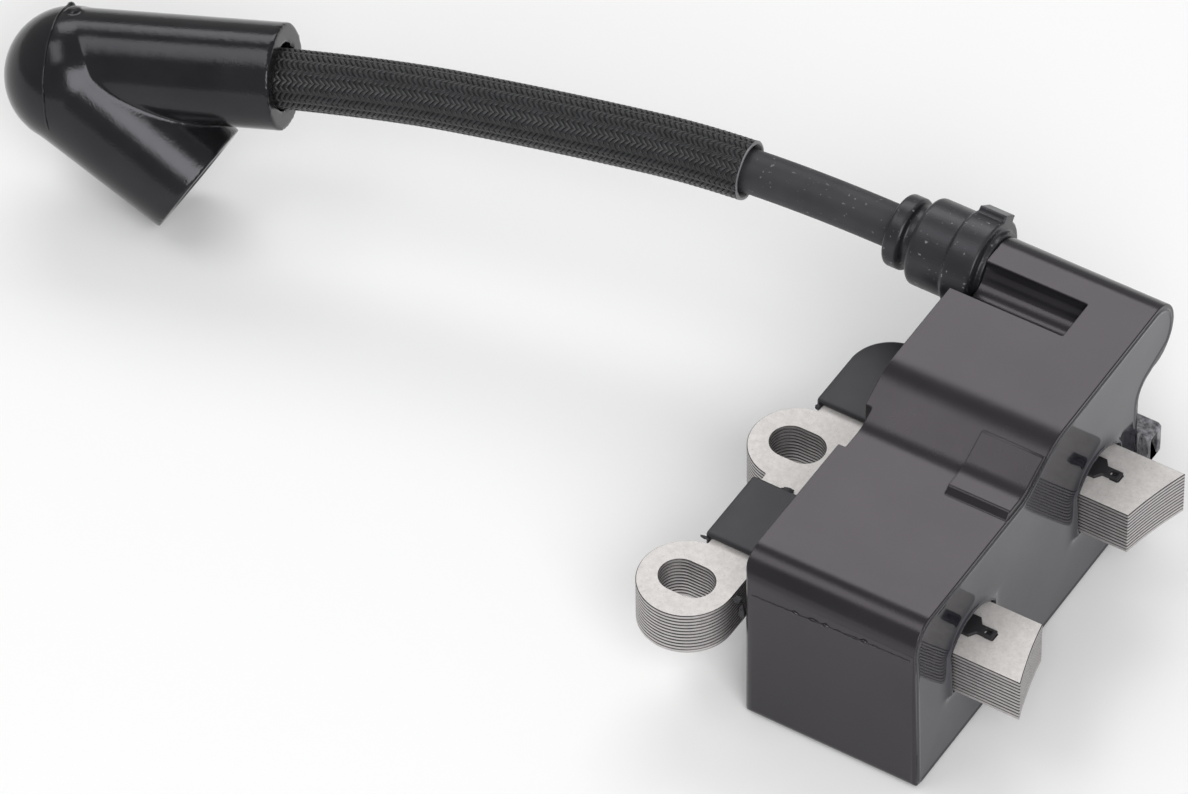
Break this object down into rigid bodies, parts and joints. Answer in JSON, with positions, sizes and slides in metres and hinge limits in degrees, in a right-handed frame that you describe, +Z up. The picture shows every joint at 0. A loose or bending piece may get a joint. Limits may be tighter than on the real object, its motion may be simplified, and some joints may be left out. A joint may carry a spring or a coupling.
{
  "type": "ignition coil",
  "caption": "Small-engine ignition coil module: laminated core with two slotted lugs and pole shoes, potted case, sleeved high-tension lead and angled spark plug boot.",
  "frame": {"origin": "on the base plane of the case, midway along the case in X and on the symmetry plane of the two pole shoes in Y", "axes": "+X towards the flywheel, out of the pole shoes; +Y towards the high-tension tower; +Z up from the base plane, square to the laminations"},
  "size_m": [0.1498, 0.0626, 0.0302],
  "materials": {
    "case_plastic": "satin moulded plastic, charcoal black",
    "cover_plastic": "fine matt moulded plastic, black",
    "potting": "cast resin, smooth and glossy, dark grey",
    "bobbin_plastic": "glass-filled nylon, black",
    "copper": "enamelled copper wire",
    "board": "glass-epoxy board, green",
    "component": "moulded component bodies, black",
    "contact_brass": "stamped brass, tinned",
    "lamination_steel": "bare silicon steel, pale warm grey with fine edges",
    "gland_rubber": "semi-gloss moulded rubber, black",
    "lead_jacket": "matt silicone rubber, dark grey",
    "conductor": "stranded copper",
    "braid": "woven polyester braid, black",
    "boot_rubber": "glossy moulded rubber, black",
    "spring_steel": "zinc-plated spring wire"
  },
  "bodies": {
    "module": {"braided_sleeve": "braid", "cable_gland": "gland_rubber", "case_shell": "case_plastic", "charge_bobbin": "bobbin_plastic", "charge_winding": "copper", "control_board": "board", "core_hook_front": "cover_plastic", "core_hook_rear": "cover_plastic", "core_lamination_01": "lamination_steel", "core_lamination_02": "lamination_steel", "core_lamination_03": "lamination_steel", "core_lamination_04": "lamination_steel", "core_lamination_05": "lamination_steel", "core_lamination_06": "lamination_steel", "core_lamination_07": "lamination_steel", "core_lamination_08": "lamination_steel", "core_lamination_09": "lamination_steel", "core_lamination_10": "lamination_steel", "core_lamination_11": "lamination_steel", "core_lamination_12": "lamination_steel", "diodes": "component", "ground_strap": "contact_brass", "high_tension_contact": "contact_brass", "kill_terminal_blade": "contact_brass", "kill_terminal_shroud": "cover_plastic", "lead_conductor": "conductor", "lead_insulation": "lead_jacket", "lead_root_conductor": "conductor", "lead_root_insulation": "lead_jacket", "leg_collar_front": "potting", "leg_collar_rear": "potting", "potting_resin": "potting", "primary_bobbin": "bobbin_plastic", "primary_winding": "copper", "resistors": "component", "secondary_bobbin": "bobbin_plastic", "secondary_winding": "copper", "storage_capacitor": "component", "thyristor": "component", "yoke_cover_front": "cover_plastic", "yoke_cover_rear": "cover_plastic"},
    "boot": {"plug_boot": "boot_rubber", "plug_spring": "spring_steel"}
  },
  "joints": [
    {"name": "boot_swivel", "type": "hinge", "parent": "module", "child": "boot", "pos_m": [-0.1171, 0.0088, 0.0178], "axis": [0.9471, 0.289, 0.1393], "range_deg": [-90, 90]}
  ]
}
